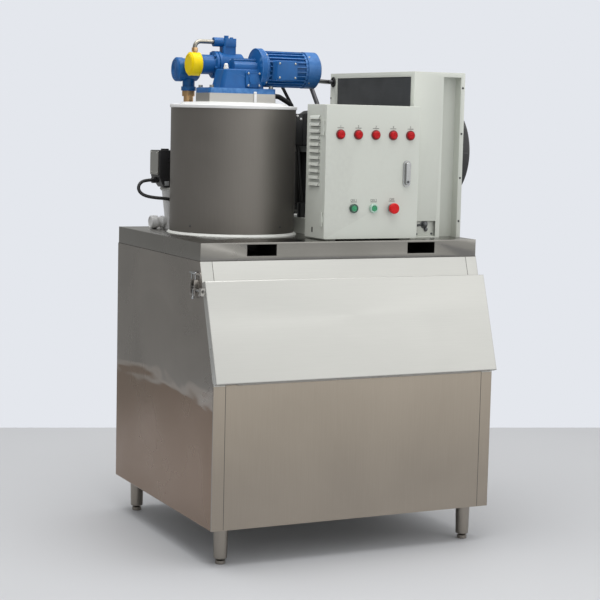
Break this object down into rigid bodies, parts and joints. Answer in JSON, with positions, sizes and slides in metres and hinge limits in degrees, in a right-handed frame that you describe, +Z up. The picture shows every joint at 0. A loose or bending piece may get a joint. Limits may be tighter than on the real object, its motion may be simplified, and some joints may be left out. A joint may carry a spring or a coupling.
{
  "type": "flake ice machine",
  "caption": "Flake ice machine: a freezing drum with its gear drive, condenser and control box on a skid over an insulated stainless bin with a sloping drop-down door.",
  "frame": {"origin": "on the floor under the middle of the machine's footprint, without the free cable", "axes": "+X to the right seen from the front, +Y to the back, +Z up"},
  "size_m": [1.27, 1.0306, 1.911],
  "materials": {
    "stainless": "brushed stainless sheet",
    "drum_steel": "brushed stainless, vertical grain",
    "bright_steel": "polished",
    "gasket_rubber": "matt",
    "leg_steel": "turned stainless",
    "white_plastic": "matt white",
    "gear_blue": "blue gloss paint",
    "cap_yellow": "yellow gloss paint",
    "fitting_brass": "turned",
    "pipe_steel": "drawn steel tube",
    "hose_black": "black foam sleeve",
    "cabinet_grey": "light grey satin paint",
    "tray_grey": "light grey satin paint",
    "black_paint": "black satin paint",
    "black_plastic": "matt",
    "fin_aluminium": "bare fins",
    "switch_grey": "matt",
    "lamp_red": "translucent red lens",
    "button_green": "gloss",
    "stop_red": "gloss",
    "cable_sheath": "matt sheath"
  },
  "bodies": {
    "machine": {"bin_side_left": "stainless", "bin_side_right": "stainless", "bin_back": "stainless", "bin_floor": "stainless", "bin_front_panel": "stainless", "bin_header": "stainless", "bin_top": "stainless", "hinge_leaf_fixed": "stainless", "latch_base": "stainless", "skid_frame": "stainless", "pedestal": "stainless", "drum_jacket": "drum_steel", "evaporator": "drum_steel", "feed_pipe": "bright_steel", "door_gasket": "gasket_rubber", "legs": "leg_steel", "leg_feet": "leg_steel", "ice_chute": "white_plastic", "drum_lid": "white_plastic", "gearbox_housing": "gear_blue", "gearbox_cover": "gear_blue", "motor_body": "gear_blue", "motor_terminal_box": "gear_blue", "motor_fan_cover": "gear_blue", "feed_pump": "gear_blue", "feed_pump_cap": "cap_yellow", "feed_pump_head": "gear_blue", "feed_fitting": "fitting_brass", "compressor": "black_paint", "compressor_box": "black_plastic", "compressor_tray": "tray_grey", "receiver": "black_paint", "refrigerant_pipes": "pipe_steel", "insulated_hoses": "hose_black", "condenser_casing": "cabinet_grey", "condenser_coil": "fin_aluminium", "fan_guard": "black_paint", "fan_motor": "black_paint", "control_box": "cabinet_grey", "control_gear": "switch_grey", "pump_motor": "black_paint", "pump_cover": "fin_aluminium", "pump_casing": "white_plastic", "water_pipes": "white_plastic", "pump_cable": "cable_sheath"},
    "bin_door": {"bin_door": "stainless", "door_fittings": "stainless"},
    "latch_bolt": {"latch_bolt": "bright_steel"},
    "control_door": {"control_door": "cabinet_grey", "lamps": "lamp_red", "panel_bezels": "bright_steel"},
    "lock_handle": {"lock_handle": "bright_steel"},
    "start_button": {"start_button": "button_green"},
    "run_button": {"run_button": "button_green"},
    "estop_head": {"estop_head": "stop_red"},
    "condenser_fan": {"fan_blades": "black_plastic"},
    "ice_rotor": {"spindle": "drum_steel", "scraper": "drum_steel", "water_distributor": "white_plastic"},
    "motor_rotor": {"motor_fan": "black_plastic"}
  },
  "joints": [
    {"name": "bin_door_hinge", "type": "hinge", "parent": "machine", "child": "bin_door", "pos_m": [-0.04, -0.48836, 0.6609], "axis": [1, 0, 0], "range_deg": [0, 110]},
    {"name": "latch_slide", "type": "slide", "parent": "machine", "child": "latch_bolt", "axis": [0, -1, 0], "range_m": [0, 0.022]},
    {"name": "control_door_hinge", "type": "hinge", "parent": "machine", "child": "control_door", "pos_m": [-0.1145, -0.30072, 1.4], "axis": [0, 0, -1], "range_deg": [0, 115]},
    {"name": "lock_turn", "type": "hinge", "parent": "control_door", "child": "lock_handle", "pos_m": [0.232, -0.32072, 1.425], "axis": [0, 1, 0], "range_deg": [0, 90]},
    {"name": "start_button_press", "type": "slide", "parent": "control_door", "child": "start_button", "axis": [0, 1, 0], "range_m": [0, 0.004], "stiffness_N_per_m": 500, "springref_m": -0.002},
    {"name": "run_button_press", "type": "slide", "parent": "control_door", "child": "run_button", "axis": [0, 1, 0], "range_m": [0, 0.004], "stiffness_N_per_m": 500, "springref_m": -0.002},
    {"name": "estop_press", "type": "slide", "parent": "control_door", "child": "estop_head", "axis": [0, 1, 0], "range_m": [0, 0.005]},
    {"name": "condenser_fan_spin", "type": "hinge", "parent": "machine", "child": "condenser_fan", "pos_m": [0.52, 0.04828, 1.475], "axis": [1, 0, 0], "continuous": true},
    {"name": "scraper_spin", "type": "hinge", "parent": "machine", "child": "ice_rotor", "pos_m": [-0.2825, 0.14228, 1.4], "axis": [0, 0, 1], "continuous": true},
    {"name": "motor_spin", "type": "hinge", "parent": "machine", "child": "motor_rotor", "pos_m": [0.05, 0.14228, 1.784], "axis": [1, 0, 0], "continuous": true}
  ],
  "couplings": [
    {"joint": "motor_spin", "follows": "scraper_spin", "ratio": 60}
  ]
}
